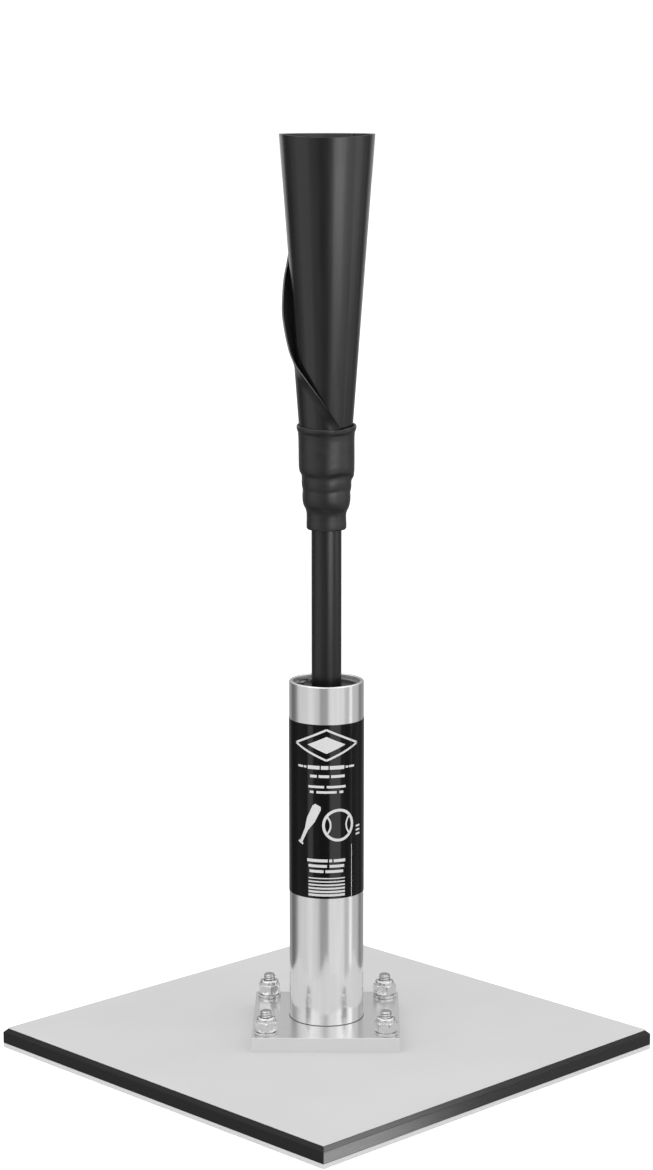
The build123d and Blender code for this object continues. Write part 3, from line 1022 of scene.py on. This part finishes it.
LIP_DIP = 1.4  # how much lower the lip hangs towards the camera, in mm
LIP_GAP = 0.7  # how far the sheet's outer edge pushes the lip open, in mm
LIP_GAP_SIDE = radians(27)
LIP_GAP_REACH = radians(14)


def bend(piece, node):
    """Rubber between the stem and the cone: its place is baked into its mesh, and its CAD node is
    hidden.
    """
    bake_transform(piece)
    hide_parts(node)
    return piece


def make_boot(material):
    """Rubber drawn tight over two clamps, with a thick rolled lip round the cone. Its
    outlines are in mm: radius, and height above its foot."""
    z0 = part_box("boot")[0].z
    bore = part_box("stem")[1].x + 0.02 * MM
    profile = smooth_curve(
        [
            (0.0, 10.5),
            (1.2, 10.6),
            (6.0, 10.6),
            (8.6, 10.7),
            (10.4, 11.2),
            (12.2, 12.1),
            (14.2, 12.6),
            (17.5, 12.85),
            (19.3, 12.8),
            (20.6, 12.7),
            (22.0, 13.0),
            (24.5, 13.25),
            (26.6, 13.2),
            (28.2, 13.4),
            (29.9, 14.25),
            (32.2, 14.65),
            (36.0, 14.75),
            (44.0, 14.75),
            (50.5, 14.9),
            (52.0, 15.1),
            (53.0, 15.6),
            (BOOT_PROFILE_TOP, 15.8),
        ]
    )
    # how far below its height in the profile the step over the upper clamp runs, in mm by
    # degrees from the camera's side
    step_drop = smooth_curve(
        [
            (-180, -0.4),
            (-90, -0.9),
            (-40, -0.6),
            (0, 0.0),
            (35, -1.3),
            (60, -0.6),
            (90, 2.2),
            (130, 1.0),
            (180, -0.4),
        ]
    )
    outside = [(profile(h) * MM, z0 + h * MM) for h in levels(0.6, 54.4, 0.5)]
    lip = [(15.8, LIP_CREST), (15.6, 55.4), (15.25, 55.7), (14.9, 55.6), (14.6, 55.1)]
    inside = [
        (14.3, 52.5),
        (14.15, 49.0),
        (13.0, 41.2),
        (12.6, 40.0),
        (12.6, 28.0),
        (11.6, 26.0),
        (11.4, 12.0),
        (9.6, 8.0),
        (9.6, 3.2),
    ]
    outline = [(bore, z0), (10.1 * MM, z0)] + outside
    outline += [(r * MM, z0 + h * MM) for r, h in lip + inside]
    outline += [(bore, z0 + 3.0 * MM)]

    def drawn(r, z, a):
        """Uneven pull: the step wanders, the lip dips at the front and opens at the sheet's
        edge."""
        h = (z - z0) / MM
        side = camera_side(a)
        dip = LIP_DIP * max(0.0, cos(side)) * rise(h, 46, 54)
        outer = h < BOOT_WALL_TOP and r / MM > profile(h) - 0.01
        if not outer:
            opened = LIP_GAP * near(side, LIP_GAP_SIDE, LIP_GAP_REACH) * rise(h, 50, 54)
            sunk = 0.6 * opened if h > LIP_CREST else 0.0
            return r + opened * MM, z - (dip + sunk) * MM
        ripple = 0.10 * sin(2 * side + 0.8 + h * 0.07) + 0.07 * sin(3 * side - 1.1 + h * 0.13)
        ease = rise(h, 0, 8) * rise(55 - h, 0, 6)
        step = step_drop(degrees(side)) * near(h, 28, 14)
        foot_step = 0.5 * sin(side) * near(h, 11, 6)
        level = min(max(h + step + foot_step, 0), BOOT_PROFILE_TOP)
        return (profile(level) + ripple * ease) * MM, z - dip * MM

    boot = finish_mesh("drawn_boot", turned(outline, drawn), material)
    return bend(boot, "boot")


def make_neck(material):
    """The neck in the boot: a socket over the stem, a bending length and a plug. Its
    outlines are in mm: radius, and height above its foot."""
    low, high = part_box("flex_neck")
    stem_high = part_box("stem")[1]
    socket = [
        (9.4, 0.0),
        (9.4, 7.0),
        (10.2, 10.5),
        (10.2, 15.3),
        (10.8, 17.2),
        (10.8, 22.0),
        (12.5, 26.0),
    ]
    bending = [(12.5, h) for h in levels(27, 37.7, 1)]
    plug = [(10.3, 37.9), (12.1, 60.4), (11.6, 61.0)]
    outline = [(0, stem_high.z), (stem_high.x, stem_high.z), (stem_high.x, low.z)]
    outline += [(r * MM, low.z + h * MM) for r, h in socket + bending + plug]
    outline += [(0, high.z)]
    neck = finish_mesh("flexible_neck", turned(outline, segments=96), material)
    return bend(neck, "flex_neck")


CONE_FOOT_R = 12.86 * MM
CONE_RIM_R = 25.2 * MM
RIM_DIP = 1.7 * MM
RIM_DIP_FROM = 0.9  # share of the cone's height where the dip starts

SHEET_T = 1.3 * MM
ROLL_PITCH = 0.98 * SHEET_T  # how far each turn stands outside the turn before it
LEAF_T = 0.94 * SHEET_T  # a little less than the pitch, so that turns don't touch
FIRST_TURN_IN = 1.75 * SHEET_T  # how far inside the cone's radius the roll starts
ROLL_START = -575.0  # degrees from the camera's side
SKIVED = 28.0  # degrees over which the sheet thins to its outer edge
EDGE_T = 0.8 * MM

# The rolled sheet's outer edge, by height above the base's top in mm: where it runs, in
# degrees from the camera's side; how far it springs off the turn below, in mm; and over how
# many degrees behind it the sheet springs.
BASE_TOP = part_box("base_top_skin")[1].z
EDGE_ANGLE = smooth_curve(
    [
        (317, 70),
        (332, 26),
        (340, 5),
        (350, -20),
        (358, -42),
        (364, -62),
        (371, -80),
        (380, -86),
        (400, -87),
        (410, -91),
        (420, -102),
        (445, -122),
        (483, -140),
    ]
)
EDGE_SPRING = smooth_curve(
    [
        (317, 0.1),
        (326, 0.3),
        (334, 0.9),
        (345, 1.5),
        (356, 1.9),
        (364, 2.3),
        (371, 3.1),
        (377, 3.9),
        (383, 4.5),
        (390, 4.8),
        (397, 4.2),
        (403, 3.4),
        (409, 2.3),
        (414.5, 0.9),
        (418.5, 0.15),
        (483, 0.05),
    ]
)
SPRING_SPREAD = smooth_curve(
    [
        (317, 18),
        (345, 22),
        (360, 30),
        (375, 52),
        (395, 62),
        (410, 50),
        (483, 30),
    ]
)


def rolled(share, up):
    """A spot on the rolled sheet, share of the way along the roll and up its height: the
    radius of its inner face, its height, its angle about Z and its thickness."""
    z = cone_low.z + up * (cone_high.z - cone_low.z)
    h = (z - BASE_TOP) / MM
    edge = EDGE_ANGLE(h)
    at = ROLL_START + share * (edge - ROLL_START)
    turns = (at - ROLL_START) / 360
    lift = EDGE_SPRING(h) * MM * near(at, edge, SPRING_SPREAD(h)) ** 1.6
    cone_r = CONE_FOOT_R + up * (CONE_RIM_R - CONE_FOOT_R)
    inner_r = cone_r - FIRST_TURN_IN + turns * ROLL_PITCH + lift
    thickness = LEAF_T + (EDGE_T - LEAF_T) * near(at, edge, SKIVED)
    dip = RIM_DIP * max(0.0, cos(radians(at))) ** 2 * rise(up, RIM_DIP_FROM, 1.0)
    return inner_r, z - dip, FRONT + radians(at), thickness


def make_cone(material, edge_highlight_material, inside_light_material):
    """One rubber sheet rolled up like a scroll, its outer edge running down aslant."""
    # Slot 1: the sheet's cut edges, painted paler as a painted highlight. Slot 2: its inner faces,
    # painted lighter as painted light inside the roll.
    highlight_edge_slot = 1
    lit_inner_slot = 2
    around = 190
    heights = 112
    grid = [
        [rolled(i / around, j / heights) for j in range(heights + 1)] for i in range(around + 1)
    ]
    bm = bmesh.new()

    def vertex(spot, depth):
        r, z, angle, thickness = spot
        r += depth * thickness
        return bm.verts.new((r * cos(angle), r * sin(angle), z))

    inner = [[vertex(spot, 0.0) for spot in column] for column in grid]
    outer = [[vertex(spot, 1.0) for spot in column] for column in grid]
    for i in range(around):
        for j in range(heights):
            bm.faces.new((outer[i][j], outer[i + 1][j], outer[i + 1][j + 1], outer[i][j + 1]))
            corners = (inner[i][j], inner[i][j + 1], inner[i + 1][j + 1], inner[i + 1][j])
            bm.faces.new(corners).material_index = lit_inner_slot
    for i in range(around):
        for j in (0, heights):
            bm.faces.new((inner[i][j], inner[i + 1][j], outer[i + 1][j], outer[i][j]))
    for j in range(heights):
        for i in (0, around):
            corners = (inner[i][j], outer[i][j], outer[i][j + 1], inner[i][j + 1])
            bm.faces.new(corners).material_index = highlight_edge_slot
    round_edges(bm, 0.12 * MM, sharper_than=60)
    cone = finish_mesh("rolled_cone", bm, material)
    cone.data.materials.append(edge_highlight_material)
    cone.data.materials.append(inside_light_material)
    return put(cone, "cone", "cone", "cone")


# ---- put it together -----------------------------------------------------------

make_camera()
make_world()
make_floor(floor_finish())
add_softbox("key_softbox", side=-35, reach=2.0, height=2.2, size=2.8, power=12)
add_softbox("fill_softbox", side=60, reach=2.2, height=1.8, size=2.6, power=6)

zinc = zinc_finish()
steel = steel_finish()
inner_rubber = inner_rubber_finish()
mill = mill_finish()
acetal = acetal_finish()
nitrile = o_ring_finish()

make_tube(tube_finish(), bore_finish())
make_foot_shade_ring(foot_shade_finish())
label = make_label(label_finish(), cut_film_highlight_finish())
make_print(print_finish())
stem = make_stem(stem_finish())
make_bushing(acetal)
make_screws(stud_finish())
make_washers(zinc)
make_nuts(zinc)
boot = make_boot(boot_finish())
make_neck(inner_rubber)
cone = make_cone(cone_finish(), cut_edge_highlight_finish(), cone_inside_light_finish())
core = micro_bevel("base_core", "base_core_edged", core_finish(), 0.25 * MM, "stand", "base_core")
micro_bevel("base_bottom_sheet", "base_foot_sheet", sheet_finish(), 0.3 * MM, "stand", "base_sheet")
micro_bevel("base_top_skin", "base_skin_edged", skin_finish(), 0.12 * MM, "stand", "base_skin")
micro_bevel("flange_plate", "flange_plate_edged", flange_finish(), 0.12 * MM, "stand", "flange")

# Lights for the black pieces alone. Three are below the floor, because the camera looks down
# a little, and upright walls mirror what lies lower still.
blacks = (stem, boot, cone, label)
for name, side, reach, height, size, power, only, aim_height in (
    ("rubber_softbox", 32, 2.0, 0.55, 1.1, 14, blacks, 0.4),
    ("rubber_rim", 84, 2.0, 0.6, 1.1, 3.5, blacks, 0.4),
    ("rubber_left", -66, 2.0, 0.4, 1.4, 2.6, (stem, boot, cone), 0.4),
    ("rubber_gap", 58, 2.0, 0.32, 0.75, 2.0, (boot, cone), 0.4),
    ("rubber_back_left", -150, 2.0, 0.7, 1.1, 2.5, blacks, 0.4),
    ("rubber_back_right", 150, 2.0, 0.7, 1.1, 1.5, blacks, 0.4),
    ("label_strip", 27, 1.0, -0.12, 0.6, 4.0, (label,), 0.14),
    ("label_strip_left", -50, 1.0, -0.12, 0.3, 0.8, (label,), 0.14),
    ("edge_strip", 50, 0.285, -0.08, 0.14, 0.58, (core,), 0.01),
    ("bevel_strip", 61, 0.245, 0.205, 0.14, 0.40, (core,), 0.01),
):
    add_softbox(name, side, reach, height, size, power, only, aim_height)

for node, material in (
    ("nut_inserts", nylon_finish()),
    ("tube_end_plug", mill),
    ("stem_foot_plug", mill),
    ("plug_screw", steel),
    ("bushing_snap_ring", steel),
    ("foot_screw", steel),
    ("foot_washer", steel),
    ("band_clamps", steel),
    ("bumper_ring", inner_rubber),
    ("foot_guide", acetal),
    ("bushing_o_rings", nitrile),
    ("foot_o_rings", nitrile),
):
    dress(node, material)
